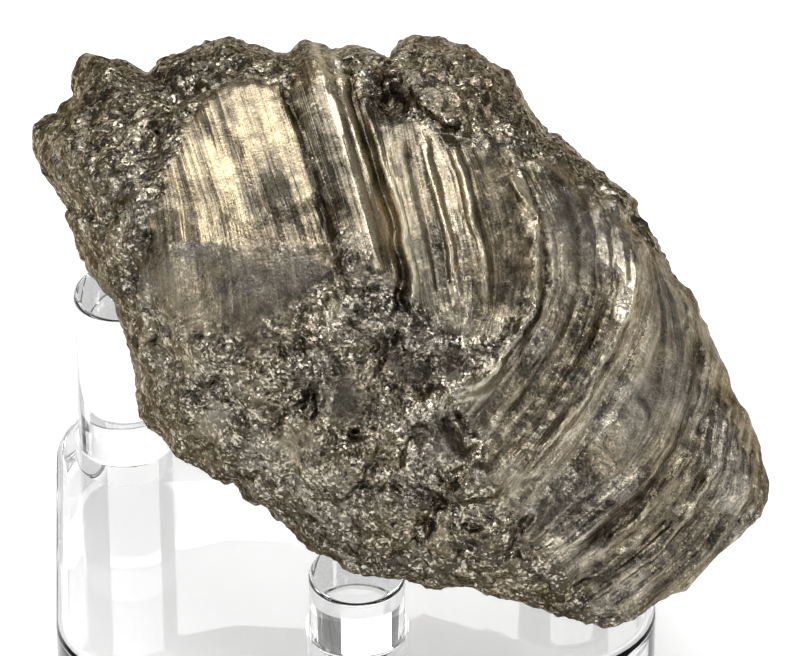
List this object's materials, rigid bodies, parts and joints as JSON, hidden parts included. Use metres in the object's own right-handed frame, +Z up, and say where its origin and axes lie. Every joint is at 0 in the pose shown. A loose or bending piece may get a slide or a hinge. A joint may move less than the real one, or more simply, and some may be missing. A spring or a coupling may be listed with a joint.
{
  "type": "graphite specimen on a stand",
  "caption": "Rough graphite specimen with curved striated plates, a raised fold and a flaky lower face, resting on round pegs in a clear rounded display block.",
  "frame": {"origin": "centre of the stand base's flat underside", "axes": "+Z up; +X along the stand's length, to the right as the specimen is looked at; +Y to the back"},
  "size_m": [0.0602, 0.0518, 0.05],
  "materials": {
    "graphite": "satin",
    "clear_acrylic": "gloss"
  },
  "bodies": {
    "root": {"graphite": "graphite", "stand_base": "clear_acrylic", "peg_rear_left": "clear_acrylic", "peg_rear_right": "clear_acrylic", "peg_front": "clear_acrylic"}
  },
  "joints": []
}
